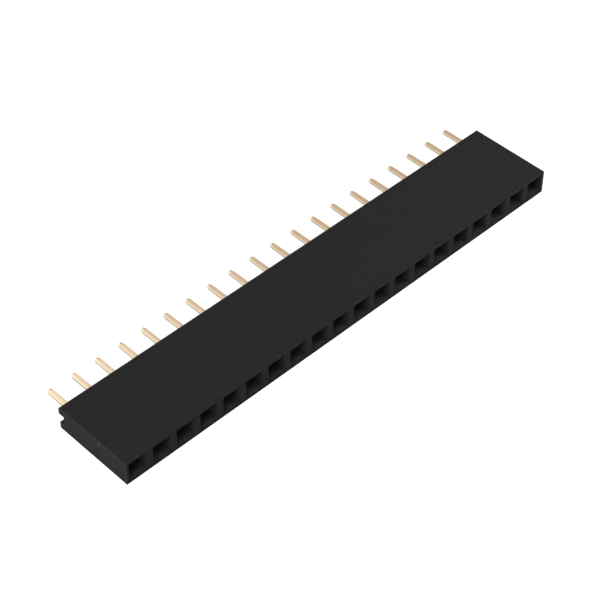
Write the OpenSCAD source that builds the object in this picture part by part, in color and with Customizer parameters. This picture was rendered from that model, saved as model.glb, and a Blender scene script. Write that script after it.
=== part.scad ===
// Single-row female pin header: one moulded housing and a row of folded sheet-metal contacts.
// The strip lies on a broad side. +X runs along the row, -Y is the mating side with the sockets,
// +Y is the board side with the tails, and +Z is the thickness. The origin is under the middle.

/* [Row] */
// Number of sockets in the row, each with a contact of its own
ways = 20; // [2:1:40]
// Distance between neighbouring contacts
pitch = 2.54; // [2.4:0.02:3.6]

/* [Housing] */
// Height of the housing, from its seating rails to its mating face
housing_h = 8.5; // [7:0.1:12]
// Thickness of the wall on each broad side of the sockets
side_wall = 0.33; // [0.26:0.01:0.8]
// Thickness of the wall that closes each end of the row
end_wall = 0.37; // [0.26:0.01:1.5]
// Thickness of the web that the contacts are pressed through
web_t = 1.3; // [1:0.05:2]
// Radius of the two long edges of the mating face
edge_r = 0.06; // [0.02:0.01:0.15]

/* [Sockets] */
// Width of a socket, along the row
socket_w = 1.8; // [1.7:0.02:2.1]
// Height of a socket, through the thickness of the strip
socket_t = 1.84; // [1.6:0.02:2.6]
// Size of the bevel around the mouth of a socket
lead_in = 0.08; // [0.02:0.01:0.15]

/* [Board side] */
// Width of the channel between the two seating rails
channel_w = 1; // [0.6:0.05:1.4]
// Depth of the channel
channel_d = 0.6; // [0.2:0.05:1]
// Radius of the outer edges of the rails
rail_r = 0.18; // [0.02:0.01:0.3]

/* [Gate mark] */
// Radius of the small notch left in one end wall
gate_r = 0.14; // [0.05:0.01:0.2]
// Length of the notch, down from the upper broad side
gate_l = 0.5; // [0.1:0.05:1.5]
// Distance of the notch from the mating face
gate_from_face = 3.2; // [1:0.1:5]

/* [Contact sheet] */
// Thickness of the sheet that a contact is stamped from
sheet = 0.25; // [0.15:0.01:0.3]
// Inside radius of every fold
bend_r = 0.12; // [0.08:0.01:0.16]

/* [Contact spring] */
// Length of the folded cradle that carries the two spring arms
cradle_l = 1.4; // [0.8:0.1:2]
// Flat length between the cradle and the fold that rests on the web
foot_l = 0.2; // [0.1:0.05:0.5]
// Height of a spring arm at the cradle
arm_h = 0.9; // [0.7:0.05:1]
// Height of a spring arm at its tip
arm_tip_h = 0.7; // [0.4:0.05:1]
// Straight length of an arm before it bows inwards
arm_root_l = 0.15; // [0.05:0.05:0.5]
// Gap between the two arms where they grip a pin
pinch_gap = 0.45; // [0.2:0.05:0.6]
// Distance from the arm tips back to the grip
pinch_back = 0.9; // [0.6:0.1:1.4]
// Outward flare of each arm tip
flare = 0.28; // [0:0.02:0.35]

/* [Contact shank and tail] */
// Width of the shank over its barbs
shank_w = 0.9; // [0.86:0.02:1.1]
// Length of the barbed shank inside the web
shank_l = 0.7; // [0.3:0.05:0.9]
// Number of barbs on each edge of the shank
barbs = 2; // [1:1:4]
// How far a barb stands out from the shank
barb_d = 0.06; // [0.02:0.01:0.08]
// Width of a tail
tail_w = 0.54; // [0.4:0.02:0.7]
// Length of a tail beyond the seating rails
tail_l = 3; // [2:0.1:12]
// Length of the taper at the end of a tail
tip_l = 0.34; // [0.1:0.02:0.8]
// Width of the blunt end of a tail
tip_w = 0.3; // [0.1:0.02:0.38]

/* [Fits] */
// Clearance all round a shank or tail in its slot
slot_gap = 0.03; // [0.01:0.01:0.1]
// Clearance between a contact and the walls of its socket
arm_gap = 0.05; // [0.02:0.01:0.15]
// Distance of the arm tips behind the mating face
tip_recess = 1.5; // [0.5:0.1:2.5]

/* [Hidden] */
// Steps in a rounded corner or a fold
corner_steps = 8;
// Steps in the bow and in the flare of a spring arm
bow_steps = 14;
flare_steps = 7;
// How far a cut runs past the face that it opens
overcut = 0.5;
// How far the arms and the strip reach into the sheet of the cradle that they grow from
root_lap = 0.3;

// The body, from the sockets and the walls around them
body_t = socket_t + 2 * side_wall;
body_l = (ways - 1) * pitch + socket_w + 2 * end_wall;

// Places along Y, from the mating face to the ends of the tails
mating_y = -(housing_h + tail_l) / 2;
seat_y = mating_y + housing_h;
channel_y = seat_y - channel_d;
web_y = channel_y - web_t;
tail_end_y = seat_y + tail_l;

// The contact's folds, measured on the middle of its sheet
fold_r = bend_r + sheet / 2;
wing_x = socket_w / 2 - arm_gap - sheet / 2;
base_z = -(socket_t / 2 - arm_gap - sheet / 2);
riser_y = web_y - sheet / 2;
cradle_back_y = riser_y - fold_r - foot_l;
cradle_front_y = cradle_back_y - cradle_l;
arm_tip_y = mating_y + tip_recess;
arm_clear_y = arm_tip_y - sheet; // just past the slanted ends of the arms
pinch_y = arm_tip_y + pinch_back;
pinch_x = (pinch_gap + sheet) / 2;
shank_end_y = web_y + shank_l;

// The slot's mouth is opened out for the fold that turns into the shank
slot_mouth_d = bend_r + slot_gap;
slot_mouth_t = 2 * (fold_r + slot_gap);

function contact_name(i) = str("contact_", i < 10 ? "0" : "", i);

// Points along an arc, both ends included
function arc(centre, radius, from, to) =
    [for (i = [0:corner_steps])
        let (a = from + (to - from) * i / corner_steps) centre + radius * [cos(a), sin(a)]];

function unit(v) = v / norm(v);
function left_of(v) = [-v.y, v.x];

// The offset direction at point i of a path, stretched so that a ribbon keeps its thickness at a corner
function mitre(path, i) =
    let (
        last = len(path) - 1,
        before = left_of(unit(path[max(i, 1)] - path[max(i, 1) - 1])),
        after = left_of(unit(path[min(i + 1, last)] - path[min(i + 1, last) - 1]))
    )
    (before + after) / (1 + before * after);

// A strip of sheet seen edge on, centred on a path
module ribbon(path) {
    last = len(path) - 1;
    polygon(concat(
        [for (i = [0:last]) path[i] + mitre(path, i) * sheet / 2],
        [for (i = [last:-1:0]) path[i] - mitre(path, i) * sheet / 2]
    ));
}

// Extrudes a shape drawn in Y and Z along X, centred on the row's middle plane
module along_x(length) {
    rotate([90, 0, 90]) linear_extrude(length, center = true) children();
}

// Extrudes a shape drawn in X and Z from y_back towards the mating side
module towards_mouth(y_back, length) {
    translate([0, y_back, 0]) rotate([90, 0, 0]) linear_extrude(length) children();
}

// Extrudes a shape drawn in X and Y through the thickness, centred on z = 0
module through_z(thickness) {
    linear_extrude(thickness, center = true) children();
}

// Moves a contact or a socket to its place in the row
module at_way(i) {
    translate([(i - (ways + 1) / 2) * pitch, 0, body_t / 2]) children();
}

// A rectangular block that is centred in X and Z and runs from y0 to y1
module slot_block(width, thickness, y0, y1) {
    translate([-width / 2, y0, -thickness / 2]) cube([width, y1 - y0, thickness]);
}

// ---- housing ----

// Section of the housing in Y and Z, with the channel between its rails
module housing_section() {
    channel_low = (body_t - channel_w) / 2;
    channel_high = channel_low + channel_w;
    polygon(concat(
        arc([mating_y + edge_r, edge_r], edge_r, 180, 270),
        arc([seat_y - rail_r, rail_r], rail_r, 270, 360),
        [[seat_y, channel_low], [channel_y, channel_low], [channel_y, channel_high], [seat_y, channel_high]],
        arc([seat_y - rail_r, body_t - rail_r], rail_r, 0, 90),
        arc([mating_y + edge_r, body_t - edge_r], edge_r, 90, 180)
    ));
}

// A wedge as long as the bevel is deep, wider by the bevel at the mating face
module bevel_section(opening) {
    polygon([
        [mating_y, -opening / 2 - lead_in],
        [mating_y + lead_in, -opening / 2],
        [mating_y + lead_in, opening / 2],
        [mating_y, opening / 2 + lead_in]
    ]);
}

// The bevelled mouth: what two crossed wedges have in common
module socket_mouth() {
    intersection() {
        along_x(socket_w + 2 * lead_in) bevel_section(socket_t);
        through_z(socket_t + 2 * lead_in) mirror([1, -1]) bevel_section(socket_w);
    }
}

// All that is cut away for one contact: its socket, and its stepped slot through the web
module socket_cut() {
    slot_t = sheet + 2 * slot_gap;
    shank_slot_w = shank_w + 2 * slot_gap;
    slot_block(socket_w, socket_t, mating_y - overcut, web_y);
    socket_mouth();
    slot_block(shank_slot_w, slot_mouth_t, web_y - overcut, web_y + slot_mouth_d);
    slot_block(shank_slot_w, slot_t, web_y, shank_end_y + slot_gap);
    slot_block(tail_w + 2 * slot_gap, slot_t, web_y, channel_y + overcut);
}

// The notch that the moulding gate left in the end wall
module gate_mark() {
    translate([-body_l / 2, mating_y + gate_from_face, body_t - gate_l])
        cylinder(h = gate_l + overcut, r = gate_r, $fn = 32);
}

module housing() {
    color([0.17, 0.17, 0.17])
    difference() {
        along_x(body_l) housing_section();
        for (i = [1:ways]) at_way(i) socket_cut();
        gate_mark();
    }
}

// ---- contact ----

// The cradle: a base against one broad wall, and a wing folded up on each side
module cradle() {
    towards_mouth(cradle_back_y, cradle_l) ribbon(concat(
        [[-wing_x, arm_h / 2]],
        arc([-wing_x + fold_r, base_z + fold_r], fold_r, 180, 270),
        arc([wing_x - fold_r, base_z + fold_r], fold_r, 270, 360),
        [[wing_x, arm_h / 2]]
    ));
}

// Middle line of one spring arm, from its cradle wing to its flared tip
function arm_path() = concat(
    [[wing_x, cradle_front_y + root_lap]],
    [for (i = [0:bow_steps]) let (u = i / bow_steps, from_y = cradle_front_y - arm_root_l)
        [pinch_x + (wing_x - pinch_x) * (1 + cos(180 * u)) / 2, from_y + (pinch_y - from_y) * u]],
    [for (i = [1:flare_steps]) let (u = i / flare_steps)
        [pinch_x + flare * (1 - cos(90 * u)), pinch_y - pinch_back * u]]
);

// The two arms, cut to a taper from the cradle to the tips
module arms() {
    intersection() {
        through_z(arm_h) {
            ribbon(arm_path());
            mirror([1, 0]) ribbon(arm_path());
        }
        along_x(socket_w) polygon([
            [cradle_front_y + root_lap, -arm_h / 2],
            [cradle_front_y, -arm_h / 2],
            [arm_clear_y, -arm_tip_h / 2],
            [arm_clear_y, arm_tip_h / 2],
            [cradle_front_y, arm_h / 2],
            [cradle_front_y + root_lap, arm_h / 2]
        ]);
    }
}

// Edge of the shank and tail on the +X side: a saw edge of barbs, a shoulder, a straight tail, a taper
function blank_edge() = concat(
    [[shank_w / 2, cradle_back_y - root_lap]],
    [for (i = [0:barbs - 1]) each [
        [shank_w / 2, web_y + shank_l * i / barbs],
        [shank_w / 2 - barb_d, web_y + shank_l * (i + 1) / barbs]
    ]],
    [[tail_w / 2, shank_end_y], [tail_w / 2, tail_end_y - tip_l], [tip_w / 2, tail_end_y]]
);

// The flat outline of the strip from the cradle to the end of the tail
module blank_outline() {
    edge = blank_edge();
    polygon(concat(edge, [for (i = [len(edge) - 1:-1:0]) [-edge[i].x, edge[i].y]]));
}

// The strip that leaves the cradle, folds up to mid-thickness against the web and runs out as the tail
module shank_and_tail() {
    intersection() {
        along_x(shank_w) ribbon(concat(
            [[cradle_back_y - root_lap, base_z]],
            arc([riser_y - fold_r, base_z + fold_r], fold_r, 270, 360),
            arc([riser_y + fold_r, -fold_r], fold_r, 180, 90),
            [[tail_end_y, 0]]
        ));
        through_z(socket_t) blank_outline();
    }
}

module contact() {
    color([0.9, 0.75, 0.5]) {
        cradle();
        arms();
        shank_and_tail();
    }
}

housing();
for (i = [1:ways]) at_way(i) contact();
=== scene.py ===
"""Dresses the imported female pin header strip.

It models the moulded housing and the twenty stamped contacts, and sets up the studio round them.
"""

import logging
import math
from dataclasses import dataclass, field
from enum import Enum
from typing import Callable, Iterable, Optional

import bmesh
import bpy
from mathutils import Matrix, Vector


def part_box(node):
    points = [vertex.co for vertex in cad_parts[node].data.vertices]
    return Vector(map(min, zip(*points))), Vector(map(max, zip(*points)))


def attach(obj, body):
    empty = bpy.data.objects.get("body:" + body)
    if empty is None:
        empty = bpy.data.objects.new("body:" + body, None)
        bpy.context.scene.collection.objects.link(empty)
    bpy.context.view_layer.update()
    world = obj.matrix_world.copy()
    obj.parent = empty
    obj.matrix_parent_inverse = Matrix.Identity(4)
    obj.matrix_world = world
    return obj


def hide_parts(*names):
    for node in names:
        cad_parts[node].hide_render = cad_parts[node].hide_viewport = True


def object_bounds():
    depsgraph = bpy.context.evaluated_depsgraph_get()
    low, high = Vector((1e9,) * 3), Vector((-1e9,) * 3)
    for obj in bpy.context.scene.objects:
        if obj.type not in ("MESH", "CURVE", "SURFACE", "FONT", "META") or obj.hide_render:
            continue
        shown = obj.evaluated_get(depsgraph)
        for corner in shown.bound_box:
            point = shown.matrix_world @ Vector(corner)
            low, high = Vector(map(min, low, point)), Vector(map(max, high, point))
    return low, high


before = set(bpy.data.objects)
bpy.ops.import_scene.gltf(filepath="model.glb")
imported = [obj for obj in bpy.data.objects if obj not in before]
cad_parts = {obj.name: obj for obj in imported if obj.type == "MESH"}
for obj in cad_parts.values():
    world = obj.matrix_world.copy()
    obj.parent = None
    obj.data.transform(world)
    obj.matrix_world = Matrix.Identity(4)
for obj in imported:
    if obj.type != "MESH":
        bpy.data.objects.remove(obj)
CAD_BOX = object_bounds()

log = logging.getLogger("pin_header_strip")

# Lengths are in metres, except where a class says that its own are in millimetres.
MM = 0.001
MERGE = 1e-7
FINE_WELD = 2e-7
WELD = 1e-6
CLOSE = 2e-6
FACING = 0.9
SHARP_TURN = math.radians(40)
BODY = "root"

PairTest = Callable[[Vector, Vector], bool]
PlaceTest = Callable[[Vector], bool]
Triple = tuple[float, float, float]
Colour = Triple
Span = tuple[float, float]


class Slot(Enum):
    """Material slots of the record."""

    HOUSING = "housing"
    CONTACT = "contact"


class Select(Enum):
    """What the edit-mode tools act on: a selection mode and the mesh's list of such parts."""

    VERTEX = ("VERT", "verts")
    EDGE = ("EDGE", "edges")
    FACE = ("FACE", "faces")


class Kind(Enum):
    """Kinds of sockets that a node group can have."""

    NUMBER = "NodeSocketFloat"
    VECTOR = "NodeSocketVector"
    COLOUR = "NodeSocketColor"


def near(a: float, b: float) -> bool:
    """Says whether two lengths are the same to within a couple of microns."""
    return abs(a - b) < CLOSE


def deselect_all() -> None:
    """Leaves edit mode and deselects every object."""
    if bpy.context.mode != "OBJECT":
        bpy.ops.object.mode_set(mode="OBJECT")
    bpy.ops.object.select_all(action="DESELECT")


def take(*objects: bpy.types.Object) -> None:
    """Leaves edit mode and selects only some objects.

    Args:
        objects: the objects, the one to be active first.
    """
    deselect_all()
    for obj in objects:
        obj.select_set(True)
    bpy.context.view_layer.objects.active = objects[0]


# ---- modelling bench ----


class Workpiece:
    """A mesh on the bench, shaped in edit mode with Blender's own tools."""

    def __init__(self, name: str) -> None:
        """Takes the primitive that was just added onto the bench.

        Args:
            name: the piece's name.
        """
        self.obj = bpy.context.object
        self.obj.name = name
        self.obj.data.name = name
        bpy.ops.object.mode_set(mode="EDIT")

    @classmethod
    def between(cls, name: str, low: Vector, high: Vector) -> "Workpiece":
        """Starts from a block between two corners, or from a flat panel if they lie level.

        Args:
            name: the piece's name.
            low: the lowest corner.
            high: the highest corner.

        Returns:
            The workpiece, in edit mode.
        """
        deselect_all()
        span = high - low
        add = bpy.ops.mesh.primitive_cube_add if span.z else bpy.ops.mesh.primitive_plane_add
        add(size=1)
        piece = cls(name)
        piece.resize(Vector((span.x, span.y, span.z or 1.0)), Vector())
        piece.move((low + high) / 2)
        return piece

    @classmethod
    def rod(
        cls, name: str, centre: Vector, radius: float, length: float, sides: int
    ) -> "Workpiece":
        """Starts from an upright rod.

        Args:
            name: the piece's name.
            centre: the middle of the rod.
            radius: its radius.
            length: its length along Z.
            sides: how many sides it is drawn with.

        Returns:
            The workpiece, in edit mode.
        """
        deselect_all()
        bpy.ops.mesh.primitive_cylinder_add(vertices=sides, radius=radius, depth=length)
        piece = cls(name)
        piece.move(centre)
        return piece

    def _pick(self, kind: Select, test: Callable[[object], bool]) -> None:
        """Selects the parts that pass a test, and stops the script if there are none.

        Args:
            kind: what is selected.
            test: says yes to a vertex, an edge or a face of the mesh under edit.
        """
        mode, parts = kind.value
        bpy.ops.mesh.select_mode(type=mode)
        bpy.ops.mesh.select_all(action="DESELECT")
        mesh = bmesh.from_edit_mesh(self.obj.data)
        found = [part for part in getattr(mesh, parts) if test(part)]
        if not found:
            raise RuntimeError(f"{self.obj.name}: nothing lies where the next tool has to work")
        for part in found:
            part.select = True
        mesh.select_flush_mode()
        bmesh.update_edit_mesh(self.obj.data)

    def pick_faces(self, test: PairTest) -> None:
        """Selects faces by their centre and normal."""
        self._pick(Select.FACE, lambda face: test(face.calc_center_median(), face.normal))

    def pick_edges(self, test: PairTest) -> None:
        """Selects edges by the places of their two ends."""
        self._pick(Select.EDGE, lambda edge: test(edge.verts[0].co, edge.verts[1].co))

    def pick_vertices(self, test: PlaceTest) -> None:
        """Selects vertices by place."""
        self._pick(Select.VERTEX, lambda vertex: test(vertex.co))

    def pick_corners(self, test: PlaceTest) -> None:
        """Selects the outside edges at which the surface turns sharply.

        Args:
            test: says by its middle whether an edge counts.
        """
        self._pick(
            Select.EDGE,
            lambda edge: len(edge.link_faces) == 2
            and edge.is_convex
            and edge.calc_face_angle(0.0) > SHARP_TURN
            and test((edge.verts[0].co + edge.verts[1].co) / 2),
        )

    def pick_borders(self) -> None:
        """Selects the edges between faces of different finishes."""
        self._pick(Select.EDGE, lambda edge: len({f.material_index for f in edge.link_faces}) == 2)

    def pick_all(self) -> None:
        """Selects the whole mesh."""
        bpy.ops.mesh.select_all(action="SELECT")

    def move(self, offset: Vector) -> None:
        """Moves what is selected."""
        bpy.ops.transform.translate(value=offset)

    def resize(self, factors: Vector, about: Vector) -> None:
        """Stretches what is selected about a point."""
        bpy.ops.transform.resize(value=factors, center_override=about)

    def extrude(self, offset: Vector) -> None:
        """Extrudes what is selected by an offset, and leaves the new end selected."""
        bpy.ops.mesh.extrude_region_move(TRANSFORM_OT_translate={"value": offset})

    def spin(self, centre: Vector, axis: Vector, angle: float, steps: int) -> None:
        """Folds what is selected round an axis, right-handed, and leaves the new end selected."""
        bpy.ops.mesh.spin(steps=steps, angle=-angle, center=centre, axis=axis, use_auto_merge=False)

    def cut(self, point: Vector, normal: Vector) -> None:
        """Cuts the selected faces along a plane."""
        bpy.ops.mesh.bisect(plane_co=point, plane_no=normal, threshold=MERGE)

    def remove_faces(self) -> None:
        """Takes the selected faces out and keeps their edges where others use them."""
        bpy.ops.mesh.delete(type="FACE")

    def round_off(self, width: float, segments: int, finish: int = -1, kind: str = "EDGES") -> None:
        """Rounds the selected edges, or the corner points of a flat panel.

        Args:
            width: how far the rounding reaches along each side.
            segments: how many strips it has.
            finish: index of the strips' material, or -1 to take it from beside them.
            kind: EDGES or VERTICES.
        """
        bpy.ops.mesh.bevel(
            offset_type="OFFSET",
            offset=width,
            segments=segments,
            profile=0.5,
            affect=kind,
            clamp_overlap=False,
            material=finish,
        )

    def weld(self, distance: float = WELD) -> None:
        """Merges vertices that lie on each other."""
        self.pick_all()
        bpy.ops.mesh.remove_doubles(threshold=distance)

    def face_outwards(self) -> None:
        """Turns every face outwards."""
        self.pick_all()
        bpy.ops.mesh.normals_make_consistent(inside=False)

    def add_finishes(self, materials: Iterable[Optional[bpy.types.Material]]) -> None:
        """Adds a slot for each material."""
        for material in materials:
            self.obj.data.materials.append(material)

    def coat(self, finish: int) -> None:
        """Gives the selected faces a finish by the index of its slot."""
        self.obj.active_material_index = finish
        bpy.ops.object.material_slot_assign()

    def apply(self, kind: str, **settings: object) -> None:
        """Adds a modifier, sets it and applies it.

        Args:
            kind: the modifier's type.
            settings: its properties by name.
        """
        take(self.obj)
        modifier = self.obj.modifiers.new(kind.title(), kind)
        for name, value in settings.items():
            setattr(modifier, name, value)
        bpy.ops.object.modifier_apply(modifier=modifier.name)
        bpy.ops.object.mode_set(mode="EDIT")

    def subtract(self, other: "Workpiece") -> None:
        """Cuts the form of another workpiece out of this one, and discards the other.

        Args:
            other: the workpiece that serves as the cutter.
        """
        self.apply("BOOLEAN", object=other.obj, operation="DIFFERENCE", solver="EXACT")
        deselect_all()
        bpy.data.objects.remove(other.obj)
        take(self.obj)
        bpy.ops.object.mode_set(mode="EDIT")

    def join(self, other: "Workpiece") -> None:
        """Joins another workpiece into this one.

        Args:
            other: the workpiece that becomes a part of this one.
        """
        take(self.obj, other.obj)
        bpy.ops.object.join()
        bpy.ops.object.mode_set(mode="EDIT")

    def off_the_bench(self, smooth_angle: float) -> bpy.types.Object:
        """Finishes the shading of the piece and leaves edit mode.

        Args:
            smooth_angle: turns up to this angle are shaded smooth, in degrees.

        Returns:
            The finished object.
        """
        take(self.obj)
        bpy.ops.object.shade_smooth_by_angle(angle=math.radians(smooth_angle))
        modifier = self.obj.modifiers.new("Weighted", "WEIGHTED_NORMAL")
        modifier.keep_sharp = True
        bpy.ops.object.modifier_apply(modifier=modifier.name)
        return self.obj


def copy_piece(obj: bpy.types.Object, name: str, offset: Vector) -> bpy.types.Object:
    """Copies a piece with a mesh of its own and puts the copy's place in its mesh.

    Args:
        obj: the finished piece.
        name: the copy's name.
        offset: how far the copy stands from it.

    Returns:
        The copy, with its object at the origin.
    """
    take(obj)
    bpy.ops.object.duplicate(linked=False)
    copy = bpy.context.object
    copy.name = name
    copy.data.name = name
    copy.location = offset
    bpy.ops.object.transform_apply(location=True, rotation=False, scale=False)
    return copy


# ---- finishes ----


def rgba(colour: Colour) -> tuple[float, float, float, float]:
    """Adds a full alpha to a colour."""
    return (*colour, 1.0)


def grey(level: float) -> tuple[float, float, float, float]:
    """Makes a grey with a full alpha."""
    return rgba((level,) * 3)


class Nodes:
    """Lays out the nodes of one material, world or group."""

    NOISE_MIDDLE = (0.3, 0.7)
    # Sockets of a Mix node that mixes numbers or colours.
    NUMBER_SOCKETS = (0, 2, 3, 0)
    COLOUR_SOCKETS = (0, 6, 7, 2)

    def __init__(self, tree: bpy.types.NodeTree) -> None:
        """Starts on a node tree."""
        self.tree = tree

    def feed(self, socket: bpy.types.NodeSocket, value: object) -> None:
        """Links an output to an input, or sets the input to a constant.

        Args:
            socket: the input.
            value: the output or the constant.
        """
        if isinstance(value, bpy.types.NodeSocket):
            self.tree.links.new(value, socket)
        else:
            socket.default_value = value

    def add(
        self, kind: str, inputs: Optional[dict[int | str, object]] = None, **settings: object
    ) -> bpy.types.Node:
        """Adds a node.

        Args:
            kind: the node's type.
            inputs: what to feed to an input, by the input's name or index.
            settings: the node's own properties.

        Returns:
            The node.
        """
        node = self.tree.nodes.new(kind)
        for name, value in settings.items():
            setattr(node, name, value)
        for key, value in (inputs or {}).items():
            self.feed(node.inputs[key], value)
        return node

    def group(self, name: str, inputs: dict[int | str, object]) -> bpy.types.Node:
        """Places a shared effect group with its own values."""
        return self.add("ShaderNodeGroup", inputs, node_tree=bpy.data.node_groups[name])

    def math(self, operation: str, a: object, b: object) -> bpy.types.NodeSocket:
        """Adds a Math node of two values and gives its result."""
        return self.add("ShaderNodeMath", {0: a, 1: b}, operation=operation).outputs[0]

    def noise(
        self, place: object, scale: object, detail: float, roughness: float = 0.5
    ) -> bpy.types.NodeSocket:
        """Adds a noise texture and gives its value, from 0 to 1."""
        inputs = {"Vector": place, "Scale": scale, "Detail": detail, "Roughness": roughness}
        return self.add("ShaderNodeTexNoise", inputs).outputs["Fac"]

    def remap(
        self, value: object, source: Span, target: Span, shape: str = "LINEAR"
    ) -> bpy.types.NodeSocket:
        """Maps a range of a value to a range of levels.

        Args:
            value: the value.
            source: the value where the change starts and where it ends.
            target: the levels at those two.
            shape: how the level goes from one to the other.

        Returns:
            The level.
        """
        names = ("From Min", "From Max", "To Min", "To Max")
        inputs = {"Value": value, **dict(zip(names, (*source, *target)))}
        node = self.add("ShaderNodeMapRange", inputs, interpolation_type=shape)
        return node.outputs["Result"]

    def spread(self, value: object, target: Span) -> bpy.types.NodeSocket:
        """Spreads the middle of a noise over a range of levels."""
        return self.remap(value, self.NOISE_MIDDLE, target)

    def smooth(self, value: object, source: Span, target: Span) -> bpy.types.NodeSocket:
        """Eases from one level to another over a range of a value."""
        return self.remap(value, source, target, "SMOOTHSTEP")

    def _mix(self, kind: str, sockets: tuple[int, ...], values: tuple) -> bpy.types.NodeSocket:
        """Adds a Mix node.

        Args:
            kind: what it mixes.
            sockets: indices of its factor, of its two values, and of its result.
            values: what to feed to the first three.

        Returns:
            The result.
        """
        *inputs, output = sockets
        node = self.add("ShaderNodeMix", dict(zip(inputs, values)), data_type=kind)
        return node.outputs[output]

    def mix(self, factor: object, a: object, b: object) -> bpy.types.NodeSocket:
        """Mixes two colours and gives the result."""
        return self._mix("RGBA", self.COLOUR_SOCKETS, (factor, a, b))

    def blend(self, factor: object, a: object, b: object) -> bpy.types.NodeSocket:
        """Mixes two numbers and gives the result."""
        return self._mix("FLOAT", self.NUMBER_SOCKETS, (factor, a, b))


class EffectGroups:
    """Shader node groups that more than one finish uses. Each is built once."""

    GRAIN = "surface_grain"
    DRIFT = "tone_drift"
    STREAK = "drawn_streaks"
    COARSE_SCALE = 0.22
    PIT_SCALE = 0.5
    PIT_REACH = 0.45
    PIT_SHARE = 0.25
    SPECK_SCALE = 9.0
    SPECK_SHARE = 0.4
    SPECK_ROUGHNESS = 0.6
    STREAK_ROUGHNESS = 0.65

    def __init__(self) -> None:
        """Builds the groups."""
        self._grain()
        self._drift()
        self._streak()

    @staticmethod
    def _new(
        name: str, inputs: dict[str, Kind], outputs: dict[str, Kind]
    ) -> tuple[Nodes, bpy.types.Node, bpy.types.Node]:
        """Makes an empty group.

        Args:
            name: the group's name.
            inputs: kind of each input, by its name.
            outputs: kind of each output, by its name.

        Returns:
            The group's nodes, its input node and its output node.
        """
        group = bpy.data.node_groups.new(name, "ShaderNodeTree")
        for way, sockets in (("INPUT", inputs), ("OUTPUT", outputs)):
            for label, kind in sockets.items():
                group.interface.new_socket(label, in_out=way, socket_type=kind.value)
        nodes = Nodes(group)
        return nodes, nodes.add("NodeGroupInput"), nodes.add("NodeGroupOutput")

    def _grain(self) -> None:
        """Fine grain of a surface: a height for Bump and a mask for roughness."""
        nodes, start, end = self._new(
            self.GRAIN,
            {"Place": Kind.VECTOR, "Scale": Kind.NUMBER, "Coarse Share": Kind.NUMBER},
            {"Height": Kind.NUMBER, "Mask": Kind.NUMBER},
        )
        place, scale, share = (start.outputs[name] for name in ("Place", "Scale", "Coarse Share"))
        fine = nodes.noise(place, scale, detail=3.0)
        coarse = nodes.noise(place, nodes.math("MULTIPLY", scale, self.COARSE_SCALE), detail=2.0)
        pits = nodes.add(
            "ShaderNodeTexVoronoi",
            {"Vector": place, "Scale": nodes.math("MULTIPLY", scale, self.PIT_SCALE)},
        )
        pit = nodes.remap(pits.outputs["Distance"], (0.0, self.PIT_REACH), (0.0, 1.0))
        body = nodes.blend(share, fine, coarse)
        nodes.feed(end.inputs["Height"], nodes.blend(self.PIT_SHARE, body, pit))
        nodes.feed(end.inputs["Mask"], coarse)

    def _drift(self) -> None:
        """Slow change of tone over a surface, between two colours."""
        nodes, start, end = self._new(
            self.DRIFT,
            {"Place": Kind.VECTOR, "Scale": Kind.NUMBER, "Dark": Kind.COLOUR, "Light": Kind.COLOUR},
            {"Color": Kind.COLOUR},
        )
        place, scale = start.outputs["Place"], start.outputs["Scale"]
        broad = nodes.noise(place, scale, detail=2.0)
        fine_scale = nodes.math("MULTIPLY", scale, self.SPECK_SCALE)
        specks = nodes.noise(place, fine_scale, detail=4.0, roughness=self.SPECK_ROUGHNESS)
        mask = nodes.spread(nodes.blend(self.SPECK_SHARE, broad, specks), (0.0, 1.0))
        tone = nodes.mix(mask, start.outputs["Dark"], start.outputs["Light"])
        nodes.feed(end.inputs["Color"], tone)

    def _streak(self) -> None:
        """Streaks that rolling or shearing leaves: noise drawn out along one direction."""
        nodes, start, end = self._new(
            self.STREAK,
            {"Place": Kind.VECTOR, "Stretch": Kind.VECTOR, "Scale": Kind.NUMBER},
            {"Height": Kind.NUMBER, "Mask": Kind.NUMBER},
        )
        place, stretch, scale = (start.outputs[name] for name in ("Place", "Stretch", "Scale"))
        drawn = nodes.add("ShaderNodeVectorMath", {0: place, 1: stretch}, operation="MULTIPLY")
        lines = nodes.noise(drawn.outputs[0], scale, detail=4.0, roughness=self.STREAK_ROUGHNESS)
        nodes.feed(end.inputs["Height"], lines)
        nodes.feed(end.inputs["Mask"], nodes.spread(lines, (0.0, 1.0)))


class Surface(Nodes):
    """The nodes of one material, with its Principled shader and the place on the piece."""

    def __init__(self, name: str) -> None:
        """Makes the material.

        Args:
            name: the material's name.
        """
        self.material = bpy.data.materials.new(name)
        self.material.use_nodes = True
        super().__init__(self.material.node_tree)
        self.shader = self.tree.nodes["Principled BSDF"]
        self.place = self.add("ShaderNodeTexCoord").outputs["Object"]

    def shade(self, inputs: dict[str, object]) -> None:
        """Feeds the shader's inputs by their names."""
        for name, value in inputs.items():
            self.feed(self.shader.inputs[name], value)

    def relieve(self, height: bpy.types.NodeSocket, depth: float) -> None:
        """Gives the shader a relief of a height from 0 to 1 and a depth."""
        bump = self.add("ShaderNodeBump", {"Height": height, "Distance": depth, "Strength": 1.0})
        self.shade({"Normal": bump.outputs["Normal"]})


@dataclass(frozen=True, kw_only=True)
class Finish:
    """What every finish has: two tones that drift over the surface, and a range of roughness."""

    name: str
    dark: Colour
    light: Colour
    roughness: Span
    drift_scale: float

    def build(self) -> bpy.types.Material:
        """Builds the material.

        Returns:
            The material.
        """
        surface = Surface(self.name)
        inputs = {
            "Place": surface.place,
            "Scale": self.drift_scale,
            "Dark": rgba(self.dark),
            "Light": rgba(self.light),
        }
        drift = surface.group(EffectGroups.DRIFT, inputs)
        self._coat(surface, drift.outputs["Color"])
        return surface.material

    def _coat(self, surface: Surface, tone: bpy.types.NodeSocket) -> None:
        """Shades the surface around its drifting tone. Each kind of finish has its own way."""
        raise NotImplementedError


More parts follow.
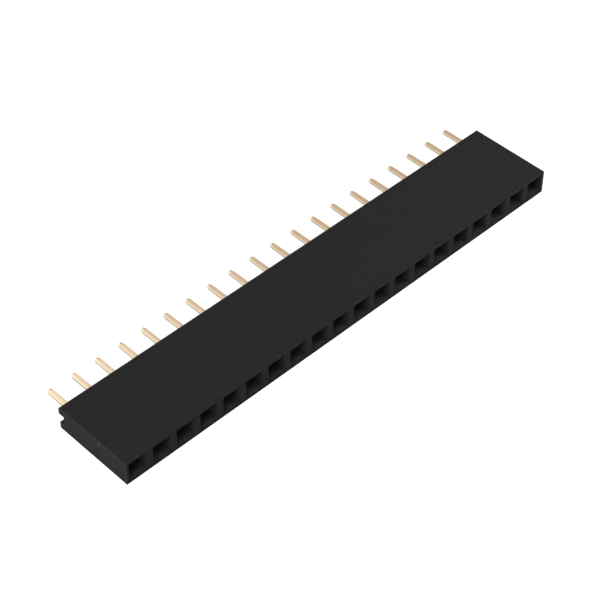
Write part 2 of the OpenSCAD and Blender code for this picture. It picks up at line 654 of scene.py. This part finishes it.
@dataclass(frozen=True, kw_only=True)
class MouldedPlastic(Finish):
    """Black moulded plastic with its mould's grain, and a painted contact shadow that darkens it
    along its foot.
    """

    specular: float = 0.13
    grain_scale: float = 9000.0
    grain_depth: float
    grain_coarse: float = 0.1
    drift_scale: float = 160.0
    # Height range and depth of the painted contact shadow along the foot.
    foot_shadow_reach: Span = (0.00016, 0.00036)
    foot_shadow_share: float = 0.1

    def _coat(self, surface: Surface, tone: bpy.types.NodeSocket) -> None:
        """Shades the surface with its grain and paints a contact shadow along the foot.

        Args:
            surface: the surface.
            tone: its drifting tone.
        """
        place = surface.place
        grain = surface.group(
            EffectGroups.GRAIN,
            {"Place": place, "Scale": self.grain_scale, "Coarse Share": self.grain_coarse},
        ).outputs
        # Painted contact shadow: the base colour darkens towards black near the bottom of the
        # piece.
        height = surface.add("ShaderNodeSeparateXYZ", {"Vector": place}).outputs["Z"]
        above_foot_shadow = surface.smooth(height, self.foot_shadow_reach, (self.foot_shadow_share, 1.0))
        surface.shade(
            {
                "Base Color": surface.mix(above_foot_shadow, grey(0.0), tone),
                "Roughness": surface.spread(grain["Mask"], self.roughness),
                "Specular IOR Level": self.specular,
            }
        )
        surface.relieve(grain["Height"], self.grain_depth)


@dataclass(frozen=True, kw_only=True)
class PlatedMetal(Finish):
    """Rolled strip with a thin warm plating, streaked along the way it was rolled or sheared."""

    stretch: Triple
    streak_scale: float
    streak_depth: float
    streak_tint: float

    def _coat(self, surface: Surface, tone: bpy.types.NodeSocket) -> None:
        """Shades the surface with its streaks.

        Args:
            surface: the surface.
            tone: its drifting tone.
        """
        streak = surface.group(
            EffectGroups.STREAK,
            {"Place": surface.place, "Stretch": self.stretch, "Scale": self.streak_scale},
        ).outputs
        share = surface.math("MULTIPLY", streak["Mask"], self.streak_tint)
        surface.shade(
            {
                "Base Color": surface.mix(share, tone, rgba(self.dark)),
                "Metallic": 1.0,
                "Roughness": surface.spread(streak["Height"], self.roughness),
            }
        )
        surface.relieve(streak["Height"], self.streak_depth)


@dataclass(frozen=True)
class Palette:
    """The finishes of the strip."""

    body: MouldedPlastic = MouldedPlastic(
        name="housing_black",
        dark=(0.0127, 0.0128, 0.0131),
        light=(0.0144, 0.0144, 0.0145),
        roughness=(0.68, 0.8),
        grain_depth=0.0000018,
    )
    # The rim is lighter than the body: a painted highlight on the rounded outer edges. Its higher
    # gloss is the edges' own.
    rim: MouldedPlastic = MouldedPlastic(
        name="housing_rim_painted_highlight",
        dark=(0.019, 0.019, 0.0192),
        light=(0.027, 0.027, 0.0272),
        roughness=(0.5, 0.62),
        specular=0.26,
        grain_scale=14000.0,
        grain_depth=0.0000015,
    )
    # Paler than the body: painted light on the sockets' floors and roofs.
    core: MouldedPlastic = MouldedPlastic(
        name="housing_socket_painted_light",
        dark=(0.028, 0.0282, 0.0286),
        light=(0.0315, 0.0315, 0.0318),
        roughness=(0.62, 0.75),
        grain_depth=0.0000012,
    )
    plating: PlatedMetal = PlatedMetal(
        name="contact_plating",
        dark=(0.96, 0.78, 0.54),
        light=(1.0, 0.855, 0.645),
        roughness=(0.18, 0.27),
        stretch=(1.0, 0.04, 1.0),
        streak_scale=6000.0,
        streak_depth=0.0000011,
        drift_scale=420.0,
        streak_tint=0.2,
    )
    shear: PlatedMetal = PlatedMetal(
        name="contact_sheared_edge",
        dark=(0.56, 0.43, 0.31),
        light=(0.74, 0.58, 0.43),
        roughness=(0.36, 0.55),
        stretch=(1.0, 1.0, 0.08),
        streak_scale=14000.0,
        streak_depth=0.000003,
        drift_scale=600.0,
        streak_tint=0.3,
    )


# ---- the strip ----


@dataclass
class Housing:
    """The one-piece moulding that holds the contacts. Lengths are in millimetres."""

    BODY_COAT, RIM_COAT, CORE_COAT = range(3)

    ways: int = 20
    socket_w: float = 1.8
    socket_t: float = 1.84
    lead_in: float = 0.08
    web_t: float = 1.3
    channel_w: float = 1.0
    channel_d: float = 0.6
    edge_r: float = 0.06
    edge_steps: int = 3
    rail_r: float = 0.18
    rail_steps: int = 6
    slot_w: float = 0.96
    slot_t: float = 0.31
    slot_mouth_d: float = 0.15
    slot_mouth_w: float = 0.98
    slot_mouth_t: float = 0.55
    slot_step: float = 0.73
    tail_slot_w: float = 0.6
    tail_slot_t: float = 0.3
    gate_r: float = 0.14
    gate_l: float = 0.5
    gate_from_face: float = 3.2
    gate_sides: int = 14
    stub_r: float = 0.085
    stub_rise: float = 0.04
    stub_sides: int = 12
    # Shares of the stub's radius, of the gate's length, and of the stub's rise and width.
    stub_inset: float = 0.6
    stub_lean: Span = (0.2, 0.3)
    stub_root: float = 1.1
    stub_steps: tuple[Span, ...] = ((0.5, 0.8), (0.5, 0.45))
    mouth_edge: float = 0.04
    outer_edge: float = 0.05
    broken_steps: int = 2
    # How far past the channel's floor, behind the mouth and beside the socket two finishes meet.
    channel_slack: float = 0.01
    lit_floor_from: float = 0.11
    lit_floor_slack: float = 0.02
    smooth_angle: float = 48.0
    low: Vector = field(default_factory=lambda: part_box("housing")[0])
    high: Vector = field(default_factory=lambda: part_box("housing")[1])

    @property
    def pitch(self) -> float:
        """Distance between ways, in metres."""
        return (self.high.x - self.low.x) / self.ways

    @property
    def middle(self) -> float:
        """Height of the middle plane, in metres."""
        return (self.low.z + self.high.z) / 2

    def way_x(self, way: int) -> float:
        """Place of a way along the row, counted from 0, in metres."""
        return self.low.x + (way + 0.5) * self.pitch

    def _in_way(self, place: Vector, margin: float) -> bool:
        """Says whether a place lies in line with a socket.

        Args:
            place: the place, in metres.
            margin: how far beside the socket it may lie.

        Returns:
            True if it does.
        """
        across = abs((place.x - self.low.x) % self.pitch - self.pitch / 2)
        return (
            across < (self.socket_w / 2 + margin) * MM
            and abs(place.z - self.middle) < (self.socket_t / 2 + margin) * MM
        )

    def build(self, palette: Palette) -> bpy.types.Object:
        """Models one way of the moulding, repeats it along the row, and closes the ends.

        Args:
            palette: the strip's finishes.

        Returns:
            The housing, in its finishes.
        """
        finishes = tuple(finish.build() for finish in (palette.body, palette.rim, palette.core))
        piece = self._one_way()
        piece.apply(
            "ARRAY",
            count=self.ways,
            use_relative_offset=False,
            use_constant_offset=True,
            constant_offset_displace=(self.pitch, 0, 0),
            use_merge_vertices=True,
            merge_threshold=WELD,
        )
        self._close_ends(piece)
        self._cut_gate_mark(piece)
        self._break_edges(piece, finishes)
        self._paint_socket_light(piece)
        piece.join(self._gate_stub(finishes))
        return piece.off_the_bench(self.smooth_angle)

    def _one_way(self) -> Workpiece:
        """Models one way, open at both sides where its neighbours join it.

        Returns:
            The workpiece of the first way.
        """
        low, high = self.low, self.high
        x = self.way_x(0)
        half = self.pitch / 2
        piece = Workpiece.between(
            "housing_shell",
            Vector((x - half, low.y, low.z)),
            Vector((x + half, high.y, high.z)),
        )
        piece.pick_faces(lambda c, n: abs(n.x) > FACING)
        piece.remove_faces()
        self._round_long_edges(piece)
        self._cut_channel(piece, x)
        self._cut_socket(piece, x)
        piece.weld()
        return piece

    def _round_long_edges(self, piece: Workpiece) -> None:
        """Rounds the four edges that run along the row.

        Args:
            piece: the workpiece.
        """
        for y, radius, segments in (
            (self.low.y, self.edge_r, self.edge_steps),
            (self.high.y, self.rail_r, self.rail_steps),
        ):
            piece.pick_edges(lambda a, b, y=y: near(a.y, y) and near(b.y, y) and near(a.z, b.z))
            piece.round_off(radius * MM, segments)

    def _cut_channel(self, piece: Workpiece, x: float) -> None:
        """Sinks the channel between the two seating rails.

        Args:
            piece: the workpiece.
            x: the way's place along the row, in metres.
        """
        back = self.high.y
        half = self.channel_w / 2 * MM
        for z in (self.middle - half, self.middle + half):
            piece.pick_faces(lambda c, n: n.y > FACING and near(c.y, back))
            piece.cut(Vector((0, 0, z)), Vector((0, 0, 1)))
        piece.pick_faces(lambda c, n: n.y > FACING and near(c.y, back) and near(c.z, self.middle))
        piece.extrude(Vector((0, -self.channel_d * MM, 0)))
        side = self.pitch / 2
        piece.pick_faces(lambda c, n: abs(n.x) > FACING and near(abs(c.x - x), side))
        piece.remove_faces()

    def _cut_socket(self, piece: Workpiece, x: float) -> None:
        """Sinks the bevelled socket and its stepped slot through to the channel.

        Args:
            piece: the workpiece.
            x: the way's place along the row, in metres.
        """
        front = self.low.y
        floor = self.high.y - (self.channel_d + self.web_t) * MM
        channel = self.high.y - self.channel_d * MM
        mouth_x = (self.socket_w / 2 + self.lead_in) * MM
        mouth_z = (self.socket_t / 2 + self.lead_in) * MM
        self._window(piece, x, front, -1.0, mouth_x, mouth_z)
        depths = (
            front + self.lead_in * MM,
            floor,
            floor + self.slot_mouth_d * MM,
            floor + self.slot_step * MM,
            channel,
        )
        sections = (
            (self.socket_w * MM, self.socket_t * MM),
            (self.slot_mouth_w * MM, self.slot_mouth_t * MM),
            (self.slot_w * MM, self.slot_t * MM),
            (self.tail_slot_w * MM, self.tail_slot_t * MM),
        )
        y, size = front, (2 * mouth_x, 2 * mouth_z)
        for start, end, (width, height) in zip(depths, depths[1:], sections):
            for next_y in (start, end):
                factors = Vector((width / size[0], 1, height / size[1]))
                piece.extrude(Vector((0, next_y - y, 0)))
                piece.resize(factors, Vector((x, next_y, self.middle)))
                y, size = next_y, (width, height)
        piece.remove_faces()
        self._window(piece, x, channel, 1.0, size[0] / 2, size[1] / 2)
        piece.remove_faces()

    def _window(
        self, piece: Workpiece, x: float, y: float, facing: float, half_w: float, half_h: float
    ) -> None:
        """Cuts the outline of an opening into a flat face across the row, and selects it.

        Args:
            piece: the workpiece.
            x: the opening's middle along the row, in metres.
            y: the place of the flat face, in metres.
            facing: 1 or -1, the sense of the face's normal along Y.
            half_w: half the opening's width, in metres.
            half_h: half its height, in metres.
        """
        for axis, middle, half in ((0, x, half_w), (2, self.middle, half_h)):
            for side in (-1, 1):
                point, normal = Vector((x, y, self.middle)), Vector()
                point[axis] = middle + side * half
                normal[axis] = 1.0
                piece.pick_faces(lambda c, n: n.y * facing > FACING and near(c.y, y))
                piece.cut(point, normal)
        piece.pick_faces(
            lambda c, n: n.y * facing > FACING
            and near(c.y, y)
            and abs(c.x - x) < half_w / 2
            and abs(c.z - self.middle) < half_h / 2
        )

    def _close_ends(self, piece: Workpiece) -> None:
        """Closes the moulding with a flat wall at each end.

        Args:
            piece: the workpiece.
        """
        piece.weld()
        for x in (self.low.x, self.high.x):
            piece.pick_edges(lambda a, b, x=x: near(a.x, x) and near(b.x, x))
            bpy.ops.mesh.edge_face_add()
        piece.face_outwards()

    def _cut_gate_mark(self, piece: Workpiece) -> None:
        """Cuts the half-round notch that the moulding gate left in the first end wall.

        Args:
            piece: the workpiece.
        """
        depth = self.gate_l * MM
        centre = Vector((self.low.x, self.low.y + self.gate_from_face * MM, self.high.z))
        radius = self.gate_r * MM
        piece.subtract(Workpiece.rod("gate_cutter", centre, radius, 2 * depth, self.gate_sides))

    def _gate_stub(self, finishes: Iterable[bpy.types.Material]) -> Workpiece:
        """Models the broken-off stub of the gate, which stands in the notch.

        Args:
            finishes: the materials of the body, the rim with its painted highlight and the sockets'
                floors with their painted light.

        Returns:
            The workpiece, in the rim's lighter finish, a painted highlight.
        """
        radius = self.stub_r * MM
        centre = Vector(
            (self.low.x + self.stub_inset * radius, self.low.y + self.gate_from_face * MM, 0)
        )
        bottom, top = self.high.z - self.stub_root * self.gate_l * MM, self.high.z
        stub = Workpiece.rod(
            "gate_stub",
            centre + Vector((0, 0, (bottom + top) / 2)),
            radius,
            top - bottom,
            self.stub_sides,
        )
        stub.pick_faces(lambda c, n: n.z > FACING)
        about = centre + Vector((self.stub_lean[0] * radius, self.stub_lean[1] * radius, 0))
        for rise, size in self.stub_steps:
            stub.extrude(Vector((0, 0, rise * self.stub_rise * MM)))
            stub.resize(Vector((size, size, 1)), about)
        stub.face_outwards()
        stub.add_finishes(finishes)
        stub.pick_faces(lambda c, n: True)
        # The stub takes the rim's painted highlight.
        stub.coat(self.RIM_COAT)
        return stub

    def _break_edges(self, piece: Workpiece, finishes: Iterable[bpy.types.Material]) -> None:
        """Gives the corners the small radius of a moulding, the outer ones in the rim's lighter
        finish, a painted highlight.

        Args:
            piece: the workpiece.
            finishes: the materials of the body, the rim with its painted highlight and the sockets'
                floors with their painted light.
        """
        piece.add_finishes(finishes)
        beside = 2 * self.lead_in
        mouth_end = self.low.y + beside * MM
        channel_from = self.high.y - (self.channel_d - self.channel_slack) * MM
        piece.pick_corners(lambda c: c.y < mouth_end and self._in_way(c, beside))
        piece.round_off(self.mouth_edge * MM, self.broken_steps, self.BODY_COAT)
        # The outer corners take the lighter rim finish: a painted highlight.
        piece.pick_corners(lambda c: c.y > channel_from or not self._in_way(c, beside))
        piece.round_off(self.outer_edge * MM, self.broken_steps, self.RIM_COAT)
        piece.face_outwards()

    def _paint_socket_light(self, piece: Workpiece) -> None:
        """Puts the sockets' floors and roofs in a paler finish: painted light, as if lit through
        the mouth.

        Args:
            piece: the workpiece.
        """
        start = self.low.y + self.lit_floor_from * MM
        end = self.high.y - (self.channel_d + self.lit_floor_slack) * MM
        piece.pick_faces(
            lambda c, n: start < c.y < end
            and abs(n.z) > FACING
            and self._in_way(c, self.lit_floor_slack)
        )
        # These faces take the paler colour: painted light.
        piece.coat(self.CORE_COAT)


@dataclass
class Contact:
    """A contact stamped and folded from one strip of sheet. Lengths are in millimetres."""

    FLAT_COAT, EDGE_COAT = range(2)

    sheet: float = 0.25
    fold_r: float = 0.245
    wing_x: float = 0.725
    base_z: float = -0.745
    cradle_front: float = -1.12
    cradle_back: float = 0.28
    riser_y: float = 0.725
    arm_h: float = 0.9
    arm_tip_h: float = 0.715
    arm_root_l: float = 0.15
    pinch_x: float = 0.35
    pinch_y: float = -3.35
    arm_tip_y: float = -4.25
    arm_tip_r: float = 0.12
    flare: float = 0.28
    shank_w: float = 0.9
    barb_d: float = 0.06
    barb_l: float = 0.04
    shoulder_l: float = 0.03
    shank_y: Triple = (0.97, 1.2, 1.55)
    tail_w: float = 0.54
    tail_end: float = 5.75
    tip_l: float = 0.34
    tip_w: float = 0.3
    # Shares of the tip's length, and of the way from the tail's width to the tip's.
    tip_steps: tuple[Span, ...] = ((0.4, 0.3), (0.75, 0.66))
    edge_break: float = 0.035
    edge_steps: int = 2
    fold_steps: int = 7
    bow_steps: int = 14
    flare_steps: int = 7
    arm_tip_steps: int = 4
    slack: float = 0.001
    smooth_angle: float = 50.0

    def build(self, name: str, x: float, z: float) -> bpy.types.Object:
        """Folds one half of the strip, mirrors it, and gives it the sheet's thickness.

        Args:
            name: the piece's name.
            x: the way's place along the row, in metres.
            z: the height of the middle plane, in metres.

        Returns:
            The contact.
        """
        half = self.shank_w / 2
        piece = Workpiece.between(
            name,
            Vector((0, self.cradle_front, self.base_z)) * MM,
            Vector((half, self.cradle_back, self.base_z)) * MM,
        )
        self._fold_wing(piece, half)
        self._draw_arm(piece)
        self._fold_strip(piece)
        self._draw_tail(piece)
        piece.weld(FINE_WELD)
        piece.apply("MIRROR", use_axis=(True, False, False), use_clip=True, merge_threshold=WELD)
        piece.face_outwards()
        piece.add_finishes((None, None))
        piece.apply(
            "SOLIDIFY",
            thickness=self.sheet * MM,
            offset=0.0,
            use_even_offset=True,
            material_offset_rim=self.EDGE_COAT,
        )
        piece.face_outwards()
        piece.pick_borders()
        piece.round_off(self.edge_break * MM, self.edge_steps, self.FLAT_COAT)
        piece.pick_all()
        piece.move(Vector((x, 0, z)))
        return piece.off_the_bench(self.smooth_angle)

    def _fold_wing(self, piece: Workpiece, inner: float) -> None:
        """Folds the wing up from the base of the cradle.

        Args:
            piece: the workpiece.
            inner: where the base ends across the contact.
        """
        fold_x = self.wing_x - self.fold_r
        piece.pick_edges(lambda a, b: near(a.x, inner * MM) and near(b.x, inner * MM))
        piece.extrude(Vector((fold_x - inner, 0, 0)) * MM)
        low = self.base_z + self.fold_r
        centre = Vector((fold_x, 0, low)) * MM
        piece.spin(centre, Vector((0, 1, 0)), -math.pi / 2, self.fold_steps)
        for top in (-self.arm_h / 2, self.arm_h / 2):
            piece.extrude(Vector((0, 0, top - low)) * MM)
            low = top

    def _arm_path(self) -> list[Span]:
        """Works out the middle line of a spring arm.

        Returns:
            Points across and along the contact, from its root to its tip.
        """
        root_y = self.cradle_front - self.arm_root_l
        bow = self.wing_x - self.pinch_x
        path = [(self.wing_x, root_y)]
        for i in range(1, self.bow_steps + 1):
            share = i / self.bow_steps
            across = self.pinch_x + bow * (1 + math.cos(math.pi * share)) / 2
            path.append((across, root_y + (self.pinch_y - root_y) * share))
        for i in range(1, self.flare_steps + 1):
            share = i / self.flare_steps
            across = self.pinch_x + self.flare * (1 - math.cos(math.pi / 2 * share))
            path.append((across, self.pinch_y + (self.arm_tip_y - self.pinch_y) * share))
        return path

    def _draw_arm(self, piece: Workpiece) -> None:
        """Draws the spring arm out of the wing, bowed, tapered and flared at its tip.

        Args:
            piece: the workpiece.
        """
        x, y, height = self.wing_x, self.cradle_front, self.arm_h
        root = Vector((x, y, height / 2)) * MM
        piece.pick_edges(
            lambda a, b: all(
                near(v.x, root.x) and near(v.y, root.y) and near(abs(v.z), root.z) for v in (a, b)
            )
        )
        slope = self.arm_tip_h - self.arm_h
        reach = self.cradle_front - self.arm_tip_y
        for next_x, next_y in self._arm_path():
            piece.extrude(Vector((next_x - x, next_y - y, 0)) * MM)
            next_height = self.arm_h + slope * (self.cradle_front - next_y) / reach
            piece.resize(Vector((1, 1, next_height / height)), Vector((next_x, next_y, 0)) * MM)
            x, y, height = next_x, next_y, next_height
        piece.pick_vertices(lambda v: near(v.y, self.arm_tip_y * MM))
        piece.round_off(self.arm_tip_r * MM, self.arm_tip_steps, kind="VERTICES")

    def _fold_strip(self, piece: Workpiece) -> None:
        """Folds the strip up from the base to the middle plane, and level again.

        Args:
            piece: the workpiece.
        """
        back, radius = self.cradle_back, self.fold_r
        side = (self.shank_w / 2 + self.slack) * MM
        piece.pick_edges(
            lambda a, b: near(a.y, back * MM)
            and near(b.y, back * MM)
            and max(a.x, b.x) < side
            and near(a.z, b.z)
        )
        piece.extrude(Vector((0, self.riser_y - radius - back, 0)) * MM)
        first = Vector((0, self.riser_y - radius, self.base_z + radius)) * MM
        piece.spin(first, Vector((1, 0, 0)), math.pi / 2, self.fold_steps)
        piece.extrude(Vector((0, 0, -radius - (self.base_z + radius))) * MM)
        second = Vector((0, self.riser_y + radius, -radius)) * MM
        piece.spin(second, Vector((1, 0, 0)), -math.pi / 2, self.fold_steps)

    def _draw_tail(self, piece: Workpiece) -> None:
        """Draws out the barbed shank, its shoulder, the straight tail and the tapered tip.

        Args:
            piece: the workpiece.
        """
        start, barb, end = self.shank_y
        full, slim = self.shank_w / 2, self.shank_w / 2 - self.barb_d
        tail, tip = self.tail_w / 2, self.tip_w / 2
        taper = self.tail_end - self.tip_l
        outline = (
            (barb - self.barb_l, slim),
            (barb, full),
            (end - self.shoulder_l, slim),
            (end + self.shoulder_l, tail),
            (taper, tail),
            *(
                (taper + along * self.tip_l, tail - inwards * (tail - tip))
                for along, inwards in self.tip_steps
            ),
            (self.tail_end, tip),
        )
        y, width = start, full
        for next_y, next_width in outline:
            piece.extrude(Vector((0, next_y - y, 0)) * MM)
            piece.resize(Vector((next_width / width, 1, 1)), Vector((0, next_y * MM, 0)))
            y, width = next_y, next_width


def place_in_frame(obj: bpy.types.Object, node: str) -> None:
    """Gives a piece its place in the shared frame.

    Args:
        obj: the finished piece.
        node: the CAD node that it stands for.
    """
    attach(obj, BODY)
    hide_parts(node)


# ---- studio ----


@dataclass
class Lamp:
    """A soft square lamp that looks at the middle of the strip."""

    name: str
    place: Triple
    size: float
    level: float
    aim: Triple = (0.0, 0.0, 0.001)

    def build(self) -> None:
        """Places the lamp. Its level is what a white surface that faces it would show."""
        data = bpy.data.lights.new(self.name, "AREA")
        data.shape = "SQUARE"
        data.size = self.size
        away = Vector(self.place) - Vector(self.aim)
        data.energy = self.level * math.pi**2 * away.length_squared
        obj = bpy.data.objects.new(self.name, data)
        obj.location = self.place
        obj.rotation_euler = away.to_track_quat("Z", "Y").to_euler()
        bpy.context.scene.collection.objects.link(obj)


@dataclass
class Studio:
    """Camera, floor, white surroundings and lamps. Lengths are in metres, angles in degrees."""

    azimuth: float = -43.81
    elevation: float = 44.839
    roll: float = -0.299
    across: float = -0.004465
    up: float = 0.002307
    distance: float = 0.154235
    lens: float = 106.464
    sensor: float = 36.0
    clip: Span = (0.005, 20.0)
    ambient: float = 0.16
    backdrop_bright: Colour = (1.08, 1.09, 1.08)
    backdrop_dark: Colour = (0.525, 0.445, 0.4)
    backdrop_dark_side: Triple = (0.97, 0.25, 0.0)
    backdrop_fade: Span = (0.47, 0.6)
    floor_tone: float = 0.35
    floor_roughness: float = 0.9
    floor_glow: float = 0.85
    floor_mirrored: float = 0.52
    # Painted shadow in the floor's reflected glow, and how far from the strip it fades out.
    floor_painted_shadow: float = 0.3
    floor_shadow_fade: float = 0.004
    floor_reach: Span = (0.02, 0.15)
    floor_size: float = 4.0
    floor_drop: float = 0.00002
    lamps: tuple[Lamp, ...] = (
        Lamp("soft_key", (-0.246, -0.254, 0.354), 0.30, 0.08),
        Lamp("soft_left", (-0.418, -0.112, 0.25), 0.30, 0.7),
        Lamp("near_left", (-0.15, -0.05, 0.08), 0.04, 0.24),
        Lamp("near_right", (0.055, -0.045, 0.05), 0.04, 0.5),
        Lamp("low_back", (0.0, 0.44, 0.07), 0.30, 0.3),
    )

    def build(self) -> None:
        """Sets the studio up."""
        self._camera()
        self._world()
        self._floor()
        for lamp in self.lamps:
            lamp.build()
        bpy.context.scene.view_settings.view_transform = "Standard"

    def _camera(self) -> None:
        """Places the camera in front of the mating face, to the left and above."""
        az, el, roll = (math.radians(v) for v in (self.azimuth, self.elevation, self.roll))
        back = Vector((math.sin(az) * math.cos(el), -math.cos(az) * math.cos(el), math.sin(el)))
        right = Vector((0, 0, 1)).cross(back).normalized()
        up = back.cross(right)
        rolled_right = right * math.cos(roll) + up * math.sin(roll)
        rolled_up = up * math.cos(roll) - right * math.sin(roll)
        data = bpy.data.cameras.new("studio_camera")
        data.lens = self.lens
        data.sensor_width = self.sensor
        data.clip_start, data.clip_end = self.clip
        obj = bpy.data.objects.new("studio_camera", data)
        turn = Matrix((rolled_right, rolled_up, back)).transposed()
        target = Vector((0, CAD_BOX[0].y, 0))
        place = target + rolled_right * self.across + rolled_up * self.up + back * self.distance
        obj.matrix_world = Matrix.Translation(place) @ turn.to_4x4()
        bpy.context.scene.collection.objects.link(obj)
        bpy.context.scene.camera = obj

    @staticmethod
    def _seen(nodes: Nodes) -> tuple[bpy.types.NodeSocket, bpy.types.NodeSocket]:
        """Adds a Light Path node.

        Args:
            nodes: the nodes that it joins.

        Returns:
            Whether the ray comes from the camera, and whether it comes off a mirror or glass.
        """
        path = nodes.add("ShaderNodeLightPath").outputs
        mirrored = nodes.math("MAXIMUM", path["Is Glossy Ray"], path["Is Transmission Ray"])
        return path["Is Camera Ray"], mirrored

    def _world(self) -> None:
        """Surrounds the strip with an even soft light that shows as white."""
        world = bpy.data.worlds.new("white_studio")
        world.use_nodes = True
        bpy.context.scene.world = world
        world.node_tree.nodes.clear()
        nodes = Nodes(world.node_tree)
        camera, mirrored = self._seen(nodes)
        direction = nodes.add("ShaderNodeTexCoord").outputs["Generated"]
        lean = nodes.add(
            "ShaderNodeVectorMath",
            {0: direction, 1: self.backdrop_dark_side},
            operation="DOT_PRODUCT",
        ).outputs["Value"]
        away = nodes.smooth(lean, self.backdrop_fade, (0.0, 1.0))
        backdrop = nodes.mix(away, rgba(self.backdrop_bright), rgba(self.backdrop_dark))
        level = nodes.mix(mirrored, grey(self.ambient), backdrop)
        shown = nodes.mix(camera, level, grey(1.0))
        light = nodes.add("ShaderNodeBackground", {"Color": shown, "Strength": 1.0})
        nodes.add("ShaderNodeOutputWorld", {"Surface": light.outputs[0]})

    def _floor(self) -> None:
        """Lays the plain pale floor, which keeps a faint shadow of the strip, and in reflections
        carries a painted shadow round the strip's footprint.
        """
        deselect_all()
        bpy.ops.mesh.primitive_plane_add(size=self.floor_size, location=(0, 0, -self.floor_drop))
        floor = bpy.context.object
        floor.name = "studio_floor"
        nodes = Surface("pale_floor")
        nodes.shade(
            {
                "Base Color": grey(self.floor_tone),
                "Roughness": self.floor_roughness,
                "Specular IOR Level": 0.0,
            }
        )
        camera, mirrored = self._seen(nodes)
        place = nodes.add("ShaderNodeSeparateXYZ", {"Vector": nodes.place})
        low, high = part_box("housing")
        beyond = []
        for axis in (0, 1):
            middle, half = (low[axis] + high[axis]) / 2, (high[axis] - low[axis]) / 2
            off = nodes.math("SUBTRACT", place.outputs[axis], middle)
            beyond.append(nodes.math("SUBTRACT", nodes.math("ABSOLUTE", off, 0.0), half))
        distance = nodes.math("MAXIMUM", *beyond)
        # Painted shadow: in reflections the floor's glow dims near the strip's footprint.
        mirrored_past_shadow = nodes.smooth(
            distance, (0.0, self.floor_shadow_fade), (self.floor_painted_shadow, self.floor_mirrored)
        )
        far_floor = nodes.smooth(distance, self.floor_reach, (self.floor_glow, 1.0))
        shown = nodes.math(
            "ADD",
            nodes.math("MULTIPLY", camera, far_floor),
            nodes.math("MULTIPLY", mirrored, mirrored_past_shadow),
        )
        glow = nodes.add("ShaderNodeEmission", {"Strength": shown})
        both = nodes.add("ShaderNodeAddShader", {0: nodes.shader.outputs[0], 1: glow.outputs[0]})
        nodes.feed(nodes.tree.nodes["Material Output"].inputs["Surface"], both.outputs[0])
        floor.data.materials.append(nodes.material)


def main() -> None:
    """Builds the studio and the strip."""
    logging.basicConfig(level=logging.INFO, format="%(name)s: %(message)s")
    Studio().build()
    EffectGroups()
    palette = Palette()
    housing = Housing()
    shell = housing.build(palette)
    place_in_frame(shell, "housing")
    log.info("%s: %d faces", shell.name, len(shell.data.polygons))
    contact = Contact()
    finishes = (palette.plating.build(), palette.shear.build())
    first = contact.build("pin_contact_01", housing.way_x(0), housing.middle)
    pieces = [first]
    for way in range(1, housing.ways):
        offset = Vector((way * housing.pitch, 0, 0))
        pieces.append(copy_piece(first, f"pin_contact_{way + 1:02d}", offset))
    for way, piece in enumerate(pieces):
        for index, material in enumerate(finishes):
            piece.data.materials[index] = material
        place_in_frame(piece, f"contact_{way + 1:02d}")
        log.info("%s: %d faces", piece.name, len(piece.data.polygons))
    deselect_all()
    bpy.context.view_layer.update()


if __name__ == "__main__":
    main()
